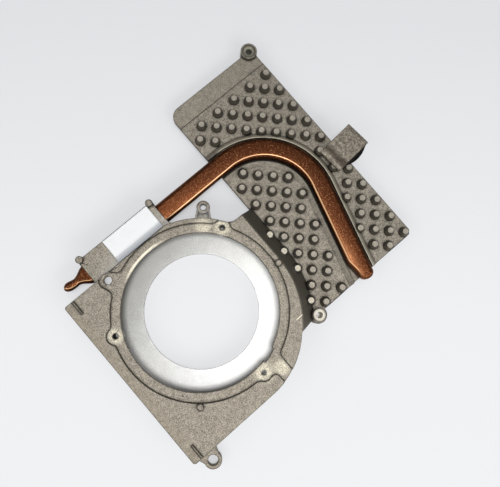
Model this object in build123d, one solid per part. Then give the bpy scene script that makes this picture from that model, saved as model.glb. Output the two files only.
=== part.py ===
from build123d import *
import math
import os

# Laptop graphics cooler: a die-cast frame that joins a pinned plate to a fan housing, with a flattened
# heat pipe, a fin stack, a sheet cover under the fan, a blank label and a grounding gasket.
# Millimetres, +Z up, +X along the plate's long edge. The origin is on the fan's axis, on the surface
# that the part lies on.

# Heights
cover_thick = 0.8
fin_height = 3.6
pipe_thick = 3.6
roof_thick = 0.8
roof_drop = 2.2
top_wall = 1.6
recess_depth = 0.6
channel_depth = 0.4
plate_thick = 1.6

# Fan housing, in plan
ring_r = 31.25
side_wall = 1.5
left_cut = 1.5
scroll_swell = 4.85
outlet_reach = 1.75
housing_corner_r = 1.0
scroll_r = 27.6
scroll_y = 0.7
window_x = -15.85
window_fillet = 4.0

# Fan seat in the housing top
recess_margin = 1.65
seat_width = 3.3
notch_angle = 17.0
notch_width = 5.2
notch_depth = 0.9
lobe_r = 2.9
recess_fillet = 1.6
lead_low_y = 6.0
lead_high_y = 10.8
fan_screw_inset = 0.7
fan_screw_angle = 5.5
fan_screw_count = 3
fan_hole_r = 0.8
fan_boss_r = 2.2
boss_sides = 8
fan_boss_depth = 6.0
through_boss_depth = 3.0

# Sloped wall between the housing and the plate
slope_x = 3.0
slope_run = 5.0
slope_wall = 1.5

# Pinned plate
plate_width = 87.6
plate_right = 27.2
plate_gap = 4.3
plate_depth = 38.75
plate_corner_r = 4.2
plate_chamfer = 1.2
strip_width = 6.9
strip_step = 0.15
pin_step = 3.75
pin_rows = 12
pin_right_edge = 1.85
pin_top_edge = 2.3
pin_foot_r = 1.75
pin_tip_r = 1.05
pin_height = 2.4
pin_sides = 8
pin_channel_lap = 0.15
pin_least_rise = 0.15
bare_places = [(19, 7), (10, 10)]

# Contact pad under the plate
pad_from_right = 36.2
pad_from_low = 19.45
pad_width = 26.0
pad_depth = 24.0
pad_thick = 1.4

# Heat pipe
pipe_out = 4.45
pipe_width = 7.2
pipe_bend_r = 22.0
pipe_fall = 15.95
pipe_corner_inset = 6.0
pipe_end_past_plate = 1.8
neck_shift = -0.6
neck_length = 4.9
neck_width = 2.9
neck_thick = 2.5
bulb_width = 3.4
bulb_thick = 3.0
bulb_length = 4.8
tip_width = 2.0
tip_thick = 1.2
nose_length = 5.6
nose_shift = 0.8
nose_width = 5.6
nose_round = 2.4
nose_mid_width = 4.7
nose_mid_thick = 3.2
oval_facets = 4
channel_gap = 0.6

# Channel walls beside the pipe
ridge_top = 0.3
ridge_slope = 1.6
ridge_height = 1.2

# Duct over the fins
duct_low_y = -20.5
duct_high_y = 11.0
duct_width = 9.7
duct_fillet = 3.0
peg_r = 1.25
peg_inset = 0.15
peg_end_inset = 0.9
peg_rise = 1.0

# Fin stack
fin_pitch = 1.3
fin_sheet = 0.25
fin_edge_inset = 0.2
fin_pipe_inset = 0.4
fin_end_gap = 0.3

# Mounting points
board_hole_r = 1.05
corner_boss_r = 2.95
corner_cup_r = 2.3
corner_cup_depth = 0.6
corner_boss_inset_x = 0.4
corner_boss_inset_y = 1.4
corner_boss_rise = 1.0
side_boss_drop = 5.85
side_lobe_r = 3.1
side_boss_r = 2.2
side_boss_rise = 2.6
ear_thick = 2.4
ear_web_share = 0.87
ring_ear_out = 5.05
ring_ear_angle = 139.0
ring_ear_r = 2.35
ring_ear_sink = 1.0
ring_ear_rib = 0.7
ring_ear_base = 3.3
side_ear_out = 4.3
side_ear_inset = 4.0
side_ear_r = 3.0
side_ear_hole_r = 1.75
side_ear_base = 4.4
lug_inset = 2.0
lug_y = -16.65
lug_hole_r = 1.35
lug_wall = 0.95
lug_depth = 2.4
lug_lobe_r = 2.9
lug_neck = 4.2
lug_clear_r = 3.4
lug_clear_shift = (-0.9, -0.7)

# Small cast features on the housing top
post_r = 1.05
post_rise = 0.8
upper_post_angle = 81.3
upper_post_gap = 0.85
lower_post_angle = -40.4
lower_post_gap = 1.1
rib_length = 5.5
rib_width = 1.0
rib_rise = 0.5
rib_taper = 32.0
rib_inset = 3.4

# Cover under the housing
cover_inset = 0.25
cover_lip = 6.3

# Label and gasket
label_thick = 0.15
label_length = 18.9
label_high_gap = 2.2
label_flat = 7.1
label_wall_gap = 0.2
label_top_gap = 0.5
gasket_from_right = 38.2
gasket_width = 9.3
gasket_foot_in = 6.6
gasket_loop_in = 3.9
gasket_overhang = 7.0
gasket_height = 5.0
gasket_end_r = 2.2
cloth_thick = 0.35
gasket_fit = 0.05

# Levels and places that follow from the sizes above
pipe_base_z = cover_thick + fin_height
roof_base_z = pipe_base_z + pipe_thick
roof_top_z = roof_base_z + roof_thick
housing_top_z = roof_top_z + roof_drop
ceiling_z = housing_top_z - top_wall
recess_z = housing_top_z - recess_depth
plate_top_z = pipe_base_z + channel_depth
plate_base_z = plate_top_z - plate_thick
pin_top_z = plate_top_z + pin_height
pin_flat = math.cos(math.pi / pin_sides)
pin_taper = math.degrees(math.atan((pin_foot_r - pin_tip_r) * pin_flat / pin_height))
pad_base_z = plate_base_z - pad_thick
left_x = left_cut - ring_r
right_x = ring_r + scroll_swell
bottom_y = -ring_r - outlet_reach
recess_r = ring_r - recess_margin
opening_r = recess_r - seat_width
inlet_r = opening_r - cover_lip
fan_screw_r = recess_r - fan_screw_inset
scroll_x = right_x - scroll_r
plate_left = plate_right - plate_width
plate_low_y = ring_r + plate_gap
plate_high_y = plate_low_y + plate_depth
pin_columns = 1 + int((plate_width - strip_width - pin_right_edge - pin_foot_r) / pin_step)
pad_x = plate_right - pad_from_right
pad_y = plate_low_y + pad_from_low
gasket_x = plate_right - gasket_from_right
pipe_x = left_x - pipe_out
pipe_corner_y = plate_high_y - pipe_corner_inset
lug_x = left_x + lug_inset
lug_clear = (lug_x + lug_clear_shift[0], lug_y + lug_clear_shift[1])
rib_y = bottom_y + rib_inset
roof_left = left_x - duct_width
pipe_half = pipe_width / 2
pipe_mid_z = pipe_base_z + pipe_thick / 2
groove_half = pipe_half + channel_gap
ridge_half = groove_half + ridge_top
foot_half = ridge_half + ridge_slope
shoulder_y = scroll_y + math.sqrt(scroll_r**2 - (plate_right - scroll_x) ** 2)
shoulder_run = plate_right - slope_x
shoulder_drop = ring_r - shoulder_y
slope_r = (shoulder_run**2 + shoulder_drop**2) / (2 * shoulder_drop)
slope_y = ring_r - slope_r
slope_foot_r = slope_r + slope_run
slope_pitch = (housing_top_z - plate_top_z) / slope_run
slope_inner_z = housing_top_z - slope_wall * math.sqrt(1 + slope_pitch**2)
slope_hollow_r = slope_r + (slope_inner_z - plate_base_z) / slope_pitch
corner_boss = (plate_left + corner_boss_inset_x, plate_high_y - corner_boss_inset_y)
cup_base_z = plate_top_z + corner_boss_rise - corner_cup_depth
side_boss = (plate_right, plate_low_y - side_boss_drop)
side_ear = (right_x + side_ear_out, bottom_y + side_ear_inset)
pegs = [
    (roof_left + peg_inset, duct_high_y - peg_end_inset),
    (roof_left + peg_inset, duct_low_y + peg_end_inset),
]
past = 1.0


def around_fan(r, angle):
    return r * math.cos(math.radians(angle)), r * math.sin(math.radians(angle))


fan_screw_step = 360 / fan_screw_count
fan_screws = [around_fan(fan_screw_r, fan_screw_angle + k * fan_screw_step) for k in range(fan_screw_count)]
ring_ear = around_fan(ring_r + ring_ear_out, ring_ear_angle)
upper_post = around_fan(recess_r + upper_post_gap, upper_post_angle)
lug_foot = around_fan(recess_r - lobe_r, math.degrees(math.atan2(lug_y, lug_x)))
lower_post = around_fan(recess_r + lower_post_gap, lower_post_angle)


def rect(x0, y0, x1, y1):
    return Pos((x0 + x1) / 2, (y0 + y1) / 2) * Rectangle(x1 - x0, y1 - y0)


def disc(place, r):
    return Pos(*place) * Circle(r)


def prism(plan, z0, z1):
    return extrude(Pos(0, 0, z0) * plan, z1 - z0)


def post(place, r, z0, z1):
    return prism(disc(place, r), z0, z1)


def hidden_boss(place, r, z0, z1):
    # boss inside the housing, with few faces
    return prism(Pos(*place) * RegularPolygon(r, boss_sides, major_radius=False), z0, z1)


def corner(plan, x, y):
    # the vertex of a plan that lies nearest a point
    return plan.vertices().sort_by_distance((x, y, 0))[0]


def housing_plan(inset):
    plan = disc((0, 0), ring_r - inset)
    plan += rect(left_x + inset, bottom_y + inset, right_x - inset, scroll_y)
    plan += disc((scroll_x, scroll_y), scroll_r - inset)
    plan += rect(window_x + inset, 0, slope_x, ring_r - inset)
    shoulder = disc((slope_x, slope_y), slope_r - inset)
    plan += shoulder & rect(slope_x, 0, plate_right - inset, ring_r - inset)
    return plan & rect(left_x + inset, bottom_y + inset, right_x - inset, ring_r - inset)


def housing_outline():
    plan = housing_plan(0)
    ring_meets_window = math.sqrt(ring_r**2 - window_x**2)
    plan = fillet(corner(plan, window_x, ring_meets_window), window_fillet)
    for x in (left_x, right_x):
        plan = fillet(corner(plan, x, bottom_y), housing_corner_r)
    return plan


def housing_shell():
    shell = prism(housing_outline(), cover_thick, housing_top_z)
    shell -= prism(housing_plan(side_wall), cover_thick, ceiling_z)
    outlet = rect(left_x + side_wall, bottom_y - past, right_x - side_wall, bottom_y + side_wall + past)
    return shell - prism(outlet, cover_thick, ceiling_z)


def fan_bosses():
    bosses = []
    for k, place in enumerate(fan_screws):
        depth = fan_boss_depth if k else through_boss_depth
        bosses.append(hidden_boss(place, fan_boss_r, recess_z - depth, recess_z))
    return bosses


def fan_holes():
    # the hole beside the lead channel goes through its boss, and the other two are blind
    holes = []
    for k, place in enumerate(fan_screws):
        depth = fan_boss_depth - top_wall if k else through_boss_depth + past
        holes.append(post(place, fan_hole_r, recess_z - depth, housing_top_z))
    return holes


def recess_plan():
    # seat of the fan's top plate: a disc, a lobe at each screw, the lug's lobe and the lead's channel
    plan = disc((0, 0), recess_r)
    for place in fan_screws:
        plan += disc(place, lobe_r)
    plan += disc((lug_x, lug_y), lug_lobe_r)
    plan += ear_web((lug_x, lug_y), lug_foot, lug_neck, lug_lobe_r)
    plan += rect(0, lead_low_y, right_x + 2 * recess_fillet, lead_high_y)
    return offset(offset(plan, recess_fillet), -recess_fillet)


def opening_plan():
    reach = disc((0, 0), opening_r + notch_depth)
    notch = rect(0, -notch_width / 2, opening_r + notch_depth + past, notch_width / 2)
    return disc((0, 0), opening_r) + (Rot(0, 0, notch_angle) * notch & reach)


def duct_roof():
    plan = rect(roof_left, duct_low_y, left_x + side_wall, duct_high_y)
    plan += disc((0, 0), ring_r) & rect(left_x, 0, left_x + ring_r / 2, ring_r)
    ring_meets_roof = -math.sqrt(ring_r**2 - duct_high_y**2)
    plan = fillet(corner(plan, ring_meets_roof, duct_high_y), duct_fillet)
    return prism(plan - housing_plan(side_wall), roof_base_z, roof_top_z)


def duct_pegs():
    return [post(place, peg_r, cover_thick, roof_top_z + peg_rise) for place in pegs]


def duct_passage():
    low = lug_y + lug_hole_r + lug_wall
    high = duct_high_y - side_wall
    return prism(rect(roof_left, low, left_x + side_wall + past, high), cover_thick, roof_base_z)


def lug_tube():
    return hidden_boss((lug_x, lug_y), lug_hole_r + lug_wall, recess_z - lug_depth, recess_z)


def lug_clearance():
    # room below the lug, open to the base
    return post(lug_clear, lug_clear_r, 0, recess_z - lug_depth)


def along_slope(*corners):
    # a section in reach and height, straight beside the window and then round the shoulder
    at = Plane(origin=(slope_x, slope_y, 0), x_dir=(0, 1, 0), z_dir=(1, 0, 0))
    section = at * Polygon(*corners, align=None)
    straight = extrude(section, slope_x - window_x, dir=(-1, 0, 0))
    turn = 90 - math.degrees(math.acos(shoulder_run / slope_r))
    curved = revolve(section, Axis((slope_x, slope_y, 0), (0, 0, -1)), turn)
    beyond = rect(plate_right, -slope_foot_r, plate_right + slope_foot_r, slope_foot_r)
    return straight + (curved - prism(beyond, 0, housing_top_z + past))


def slope_band():
    # sloped wall of even thickness
    overlap = side_wall / 2
    return along_slope(
        (slope_r - overlap, housing_top_z),
        (slope_r, housing_top_z),
        (slope_foot_r, plate_top_z),
        (slope_foot_r, plate_base_z),
        (slope_hollow_r, plate_base_z),
        (slope_r, slope_inner_z),
        (slope_r - overlap, slope_inner_z),
    )


def slope_hollow():
    # space under the sloped wall
    return along_slope((slope_r, slope_inner_z), (slope_hollow_r, plate_base_z), (slope_r, plate_base_z))


def plate_plan():
    plan = rect(plate_left, plate_low_y, plate_right, plate_high_y)
    plan = fillet(corner(plan, plate_left, plate_low_y), plate_corner_r)
    plan = chamfer(corner(plan, plate_right, plate_high_y), plate_chamfer)
    beside = rect(slope_x, shoulder_y, plate_right, plate_low_y)
    plan += beside - disc((slope_x, slope_y), slope_foot_r - slope_wall / 2)
    return plan


def pipe_path(start_y, past_plate):
    # plan of the pipe's centre line: up beside the fan, round one bend and down to the right
    run = plate_right + past_plate - pipe_x
    end = (pipe_x + run, pipe_corner_y - run * math.tan(math.radians(pipe_fall)))
    return FilletPolyline((pipe_x, start_y), (pipe_x, pipe_corner_y), end, radius=pipe_bend_r)


def along_pipe(section, start_y, past_plate):
    # a section drawn with x across the pipe and y up, carried along the pipe's plan
    start = Plane(origin=(pipe_x, start_y, 0), x_dir=(-1, 0, 0), z_dir=(0, 1, 0))
    return sweep(start * section, path=pipe_path(start_y, past_plate))


def channel_ridge():
    section = Polygon(
        (-foot_half, plate_base_z),
        (foot_half, plate_base_z),
        (foot_half, plate_top_z),
        (ridge_half, plate_top_z + ridge_height),
        (-ridge_half, plate_top_z + ridge_height),
        (-foot_half, plate_top_z),
        align=None,
    )
    ridge = along_pipe(section, plate_low_y - past, foot_half)
    return ridge & prism(plate_plan(), plate_base_z, plate_top_z + ridge_height)


def channel_groove():
    # open channel, wider than the pipe that lies on its floor
    depth = channel_depth + ridge_height + past
    section = Pos(0, pipe_base_z + depth / 2) * Rectangle(2 * groove_half, depth)
    return along_pipe(section, plate_low_y - past, foot_half)


def off_pipe(x, y):
    # distance from a point in plan to the pipe's centre line
    return pipe_path(plate_low_y - past, foot_half).distance_to(Vector(x, y, 0))


def slope_height(x, y):
    # height of the plate, or of the sloped wall where it covers the plate
    if x < slope_x:
        out = y - slope_y
    else:
        out = math.hypot(x - slope_x, y - slope_y)
    return plate_top_z + max(0, slope_foot_r - out) * slope_pitch


def pins():
    # staggered pins wherever the plate is clear of the channel and a tip stands out of the slope
    made = []
    first_x = plate_right - pin_right_edge - (pin_columns - 1) * pin_step
    first_y = plate_high_y - pin_top_edge
    for row in range(pin_rows):
        for column in range(row % 2, pin_columns, 2):
            x = first_x + column * pin_step
            y = first_y - row * pin_step
            on_plate = y > plate_low_y + pin_foot_r or x > window_x
            buried = slope_height(x, y) > pin_top_z - pin_least_rise
            too_near = off_pipe(x, y) < foot_half - pin_channel_lap
            if not on_plate or buried or too_near or (column, row) in bare_places:
                continue
            foot = Pos(x, y, plate_top_z) * RegularPolygon(pin_foot_r, pin_sides)
            made.append(extrude(foot, pin_height, taper=pin_taper))
    return made


def ear_web(ear, foot, half_foot, half_tip):
    # plan of the web from an ear's centre to the wall that carries it
    along = Vector(*foot) - Vector(*ear)
    side = Vector(-along.Y, along.X).normalized()
    corners = [
        Vector(*ear) + side * half_tip,
        Vector(*foot) + side * half_foot,
        Vector(*foot) - side * half_foot,
        Vector(*ear) - side * half_tip,
    ]
    return make_face(Polyline(*corners, close=True))


def ring_ear_plate():
    # round ear beside the window, on a thin web between two ribs
    foot = around_fan(ring_r - side_wall / 2, ring_ear_angle)
    half_tip = ring_ear_r * ear_web_share
    web = ear_web(ring_ear, foot, ring_ear_base, half_tip)
    core = ear_web(ring_ear, foot, ring_ear_base - ring_ear_rib, half_tip - ring_ear_rib)
    clear = disc((0, 0), ring_r - side_wall)
    ear_top_z = cover_thick + ear_thick
    solid = prism(web - clear, cover_thick, ear_top_z - ring_ear_sink)
    solid += prism(web - core - clear, cover_thick, ear_top_z)
    solid += post(ring_ear, ring_ear_r, cover_thick, ear_top_z)
    return solid


def side_ear_plate():
    foot = (right_x - side_wall / 2, bottom_y + side_ear_inset)
    web = ear_web(side_ear, foot, side_ear_base, side_ear_r * ear_web_share)
    return prism(web + disc(side_ear, side_ear_r), cover_thick, cover_thick + ear_thick)


def board_bosses():
    corner_post = post(corner_boss, corner_boss_r, 0, plate_top_z + corner_boss_rise)
    side_lobe = post(side_boss, side_lobe_r, 0, plate_top_z)
    side_post = post(side_boss, side_boss_r, plate_base_z, plate_top_z + side_boss_rise)
    return [corner_post, side_lobe, side_post]


def board_holes():
    high = housing_top_z
    return [
        post(corner_boss, board_hole_r, -past, high),
        post(corner_boss, corner_cup_r, cup_base_z, high),
        post(side_boss, board_hole_r, -past, high),
        post(ring_ear, board_hole_r, -past, high),
        post(side_ear, side_ear_hole_r, -past, high),
    ]


def top_details():
    details = [post(p, post_r, recess_z, housing_top_z + post_rise) for p in (upper_post, lower_post)]
    for x0 in (left_x, right_x - rib_length):
        rib = rect(x0, rib_y - rib_width / 2, x0 + rib_length, rib_y + rib_width / 2)
        details.append(extrude(Pos(0, 0, housing_top_z) * rib, rib_rise, taper=rib_taper))
    return details


def main_casting():
    body = housing_shell()
    body = body.fuse(lug_tube(), duct_roof())
    body -= duct_passage()
    body -= lug_clearance()
    body = body.fuse(*duct_pegs())
    body -= prism(recess_plan(), recess_z, housing_top_z + past)
    body = body.fuse(*fan_bosses())
    body -= prism(opening_plan(), cover_thick, housing_top_z + past)
    body -= post((lug_x, lug_y), lug_hole_r, 0, housing_top_z)
    body = body.cut(*fan_holes())
    plate = prism(plate_plan(), plate_base_z, plate_top_z)
    strip = rect(plate_left, plate_low_y, plate_left + strip_width, plate_high_y)
    plate -= prism(strip, plate_top_z - strip_step, plate_top_z + past)
    plate = plate.fuse(channel_ridge(), *board_bosses())
    pad = rect(pad_x - pad_width / 2, pad_y - pad_depth / 2, pad_x + pad_width / 2, pad_y + pad_depth / 2)
    body = body.fuse(slope_band(), plate, prism(pad, pad_base_z, plate_base_z))
    body = body.fuse(*pins())
    body -= slope_hollow()
    body -= channel_groove()
    body = body.fuse(ring_ear_plate(), side_ear_plate(), *top_details())
    return body.cut(*board_holes())


def flat_oval(width, thick):
    # flattened tube: two flats joined by rounds of a few facets
    r = thick / 2
    reach = width / 2 - r
    points = []
    for side in (1, -1):
        for k in range(oval_facets + 1):
            turn = math.pi * (k / oval_facets - 0.5)
            points.append((side * (reach + r * math.cos(turn)), side * r * math.sin(turn)))
    return Polygon(*points, align=None)


def narrowed(start, steps):
    # end of the pipe: sections of given shift, width and thickness, each some way out from the start
    sections = [start * flat_oval(pipe_width, pipe_thick)]
    for out, shift, width, thick in steps:
        sections.append(start.offset(out) * Pos(shift, 0) * flat_oval(width, thick))
    return loft(sections, ruled=True)


def pinched_end():
    # the fill end narrows to a crimped neck and a small bulb
    start = Plane(origin=(pipe_x, duct_low_y, pipe_mid_z), x_dir=(1, 0, 0), z_dir=(0, -1, 0))
    steps = [
        (neck_length, neck_shift, neck_width, neck_thick),
        (neck_length + bulb_length / 2, neck_shift, bulb_width, bulb_thick),
        (neck_length + bulb_length, neck_shift, tip_width, tip_thick),
    ]
    return narrowed(start, steps)


def heat_pipe():
    section = Pos(0, pipe_mid_z) * flat_oval(pipe_width, pipe_thick)
    end_past_plate = pipe_end_past_plate - nose_length - nose_round
    pipe = along_pipe(section, duct_low_y, end_past_plate)
    path = pipe_path(duct_low_y, end_past_plate)
    tip = path @ 1 + Vector(0, 0, pipe_mid_z)
    along = path % 1
    start = Plane(origin=tip, x_dir=(-along.Y, along.X, 0), z_dir=along)
    steps = [
        (nose_length, nose_shift, nose_width, pipe_thick),
        (nose_length + nose_round / 2, nose_shift, nose_mid_width, nose_mid_thick),
        (nose_length + nose_round, nose_shift, tip_width, tip_thick),
    ]
    return pipe + narrowed(start, steps) + pinched_end()


def fins():
    # folded fins stacked along the pipe, each with a flange above and below that meets the next
    low = pegs[1][1] + peg_r + fin_end_gap
    high = pegs[0][1] - peg_r - fin_end_gap
    count = int((high - low) / fin_pitch)
    x0 = roof_left + fin_edge_inset
    x1 = pipe_x + pipe_half - fin_pipe_inset
    y0 = (low + high - count * fin_pitch) / 2
    made = {}
    for k in range(count):
        y = y0 + k * fin_pitch
        web = rect(x0, y, x1, y + fin_sheet)
        flange = rect(x0, y, x1, y + fin_pitch)
        fin = prism(web, cover_thick, pipe_base_z)
        fin += prism(flange, cover_thick, cover_thick + fin_sheet)
        fin += prism(flange, pipe_base_z - fin_sheet, pipe_base_z)
        made[f"fin_{k + 1:02d}"] = fin
    return made


def fan_cover():
    plan = housing_plan(cover_inset)
    plan += rect(roof_left + cover_inset, duct_low_y, 0, duct_high_y) - disc((0, 0), inlet_r)
    plan -= disc((0, 0), inlet_r)
    plan -= disc(lug_clear, lug_clear_r)
    return prism(plan, 0, cover_thick)


def label():
    # paper label, flat on the duct roof and bent up to the housing's side
    high = duct_high_y - label_high_gap
    bend_x = roof_left + label_wall_gap + label_flat
    top = Vector(left_x - label_wall_gap, housing_top_z - label_top_gap)
    low = Vector(bend_x, roof_top_z)
    lean = (top - low).normalized()
    across = Vector(-lean.Y, lean.X) * label_thick
    section = Polygon(
        (roof_left + label_wall_gap, roof_top_z),
        (low.X, low.Y),
        (top.X, top.Y),
        (top.X + across.X, top.Y + across.Y),
        (low.X + across.X, roof_top_z + label_thick),
        (roof_left + label_wall_gap, roof_top_z + label_thick),
        align=None,
    )
    at = Plane(origin=(0, high, 0), x_dir=(1, 0, 0), z_dir=(0, -1, 0))
    return extrude(at * section, label_length)


def gasket_section(inset):
    # side view of the loop, in y and z, resting on the pin tips and hanging past the plate's edge
    y0 = plate_high_y - gasket_loop_in + inset
    y1 = plate_high_y + gasket_overhang - inset
    z0 = pin_top_z + inset
    z1 = pin_top_z + gasket_height - inset
    loop = rect(y0, z0, y1, z1)
    return fillet(loop.vertices(), gasket_end_r - inset)


def along_gasket(section):
    at = Plane(origin=(gasket_x - gasket_width / 2, 0, 0), x_dir=(0, 1, 0), z_dir=(1, 0, 0))
    return extrude(at * section, gasket_width)


def gasket_cloth():
    foot = rect(
        plate_high_y - gasket_foot_in, pin_top_z, plate_high_y, pin_top_z + 2 * cloth_thick
    )
    return along_gasket(gasket_section(0) + foot - gasket_section(cloth_thick))


def gasket_foam():
    return along_gasket(gasket_section(cloth_thick + gasket_fit))


nodes = {
    "main_casting": main_casting(),
    "heat_pipe": heat_pipe(),
    "fan_cover": fan_cover(),
    "label": label(),
    "gasket_cloth": gasket_cloth(),
    "gasket_foam": gasket_foam(),
    **fins(),
}

os.makedirs("parts", exist_ok=True)
for name, shape in nodes.items():
    export_step(shape, f"parts/{name}.step")
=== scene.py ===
import bmesh
import bpy
import math
from mathutils import Matrix, Vector
from mathutils.bvhtree import BVHTree
from mathutils.geometry import delaunay_2d_cdt


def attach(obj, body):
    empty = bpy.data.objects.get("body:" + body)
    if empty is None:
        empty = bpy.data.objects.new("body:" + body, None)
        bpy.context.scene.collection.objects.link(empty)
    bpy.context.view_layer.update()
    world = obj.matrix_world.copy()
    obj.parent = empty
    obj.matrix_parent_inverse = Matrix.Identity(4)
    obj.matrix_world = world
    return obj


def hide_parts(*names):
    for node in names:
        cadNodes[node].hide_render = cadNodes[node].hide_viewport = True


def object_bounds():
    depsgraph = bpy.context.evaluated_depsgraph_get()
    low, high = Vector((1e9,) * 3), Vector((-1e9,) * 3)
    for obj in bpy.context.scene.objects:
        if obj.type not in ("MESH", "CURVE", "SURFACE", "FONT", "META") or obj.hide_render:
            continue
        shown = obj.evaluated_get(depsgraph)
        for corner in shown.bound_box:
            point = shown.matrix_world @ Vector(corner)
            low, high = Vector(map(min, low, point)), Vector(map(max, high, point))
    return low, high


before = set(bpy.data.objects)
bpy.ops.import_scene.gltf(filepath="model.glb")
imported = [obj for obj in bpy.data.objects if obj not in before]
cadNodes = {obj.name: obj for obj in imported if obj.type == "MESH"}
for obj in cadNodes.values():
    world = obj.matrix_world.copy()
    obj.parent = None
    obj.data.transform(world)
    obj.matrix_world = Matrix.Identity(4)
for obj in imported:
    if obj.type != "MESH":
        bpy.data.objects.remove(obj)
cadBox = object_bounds()
mm = 0.001
print("frame loaded:", len(cadNodes), "nodes")


# small helpers

def smooth(t):
    t = min(1.0, max(0.0, t))
    return t * t * (3 - 2 * t)


def between(a, b, t):
    return a + (b - a) * t


def roundEnd(t):
    # full size up to zero, then a quarter circle that closes at one
    return math.sqrt(max(0.0, 1 - max(0.0, t) ** 2))


def inMm(values):
    return [v * mm for v in values]


def arcPoints(x, y, radius, start, end, steps):
    turns = [math.radians(between(start, end, k / steps)) for k in range(steps + 1)]
    return [(x + radius * math.cos(a), y + radius * math.sin(a)) for a in turns]


def pointsBetween(a, b, steps):
    # even steps from one point to another, without the two
    return [(between(a[0], b[0], k / steps), between(a[1], b[1], k / steps)) for k in range(1, steps)]


def meshFrom(bm, name):
    mesh = bpy.data.meshes.new(name)
    bm.to_mesh(mesh)
    bm.free()
    return mesh


def assign(target, **settings):
    for key, value in settings.items():
        setattr(target, key, value)
    return target


def newObject(name, data):
    made = bpy.data.objects.new(name, data)
    bpy.context.scene.collection.objects.link(made)
    return made


def coat(mesh, material):
    mesh.materials.clear()
    mesh.materials.append(material)


def addObject(name, mesh, material):
    coat(mesh, material)
    return newObject(name, mesh)


def shadeByAngle(mesh, degrees):
    mesh.polygons.foreach_set("use_smooth", [True] * len(mesh.polygons))
    mesh.set_sharp_from_angle(angle=math.radians(degrees))


def bakeModifiers(piece):
    # the evaluated mesh takes the place of the mesh and its modifiers
    graph = bpy.context.evaluated_depsgraph_get()
    finished = bpy.data.meshes.new_from_object(piece.evaluated_get(graph))
    piece.modifiers.clear()
    piece.data = finished
    return piece


def modified(piece, kind, **settings):
    assign(piece.modifiers.new(kind, kind), **settings)
    return bakeModifiers(piece)


def dress(piece, slotName, *nodeNames):
    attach(piece, "root")
    if nodeNames:
        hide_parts(*nodeNames)
    return piece


# copies of CAD solids with rounded edges

softEdge = {
    "merge": 0.003, "flatAngle": 0.8, "sharpAngle": 30, "smoothAngle": 50, "segments": 2,
    "spacing": 2.5,
    "rimGap": 0.45,  # share of the spacing
    "slide": 1.2,  # share of the radius
}


def levelRegions(bm, limit):
    # groups of faces that lie in one plane
    seen = set()
    for first in bm.faces:
        if first in seen:
            continue
        region, todo = [], [first]
        seen.add(first)
        while todo:
            face = todo.pop()
            region.append(face)
            for edge in face.edges:
                for other in edge.link_faces:
                    if other not in seen and first.normal.angle(other.normal, 9) < limit:
                        seen.add(other)
                        todo.append(other)
        yield region


def crossings(spot, flat, rimEdges):
    # how often a line to the right of the spot crosses the rim
    count = 0
    for a, b in rimEdges:
        p, q = flat[a], flat[b]
        if (p.y > spot.y) != (q.y > spot.y):
            count += p.x + (spot.y - p.y) / (q.y - p.y) * (q.x - p.x) > spot.x
    return count


def segmentDistance(spot, a, b):
    run = b - a
    t = min(1.0, max(0.0, (spot - a).dot(run) / max(run.length_squared, 1e-18)))
    return (spot - a - run * t).length


def evenRegion(bm, region):
    # new triangles for one level region, with inner points, so that no sliver meets an edge
    spacing = softEdge["spacing"] * mm
    gap = softEdge["rimGap"] * spacing
    inside = set(region)
    rim = [e for face in region for e in face.edges if sum(f in inside for f in e.link_faces) == 1]
    corners = list(dict.fromkeys(v for e in rim for v in e.verts))
    normal = max(region, key=lambda f: f.calc_area()).normal.copy()
    origin = corners[0].co.copy()
    side = normal.orthogonal().normalized()
    up = normal.cross(side)
    flat = [Vector(((v.co - origin).dot(side), (v.co - origin).dot(up))) for v in corners]
    index = {v: k for k, v in enumerate(corners)}
    rimEdges = [(index[e.verts[0]], index[e.verts[1]]) for e in rim]
    low = Vector((min(p.x for p in flat), min(p.y for p in flat)))
    high = Vector((max(p.x for p in flat), max(p.y for p in flat)))
    inner = []
    for i in range(1, int((high.x - low.x) / spacing) + 1):
        for j in range(1, int((high.y - low.y) / spacing) + 1):
            spot = low + Vector((i - 0.5 * (j % 2), j)) * spacing
            if all(segmentDistance(spot, flat[a], flat[b]) > gap for a, b in rimEdges):
                inner.append(spot)
    points, _, faces, sources, _, _ = delaunay_2d_cdt(flat + inner, rimEdges, [], 1, 1e-7)
    made = [corners[o[0]] if o and o[0] < len(corners) else None for o in sources]
    bmesh.ops.delete(bm, geom=region, context="FACES_ONLY")
    made = [v or bm.verts.new(origin + side * p.x + up * p.y) for v, p in zip(made, points)]
    fresh = []
    for face in faces:
        middle = sum((points[k] for k in face), Vector((0, 0))) / len(face)
        if crossings(middle, flat, rimEdges) % 2:
            fresh.append(bm.faces.new([made[k] for k in face]))
    for face in fresh:
        face.normal_update()
        if face.normal.dot(normal) < 0:
            face.normal_flip()


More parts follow.
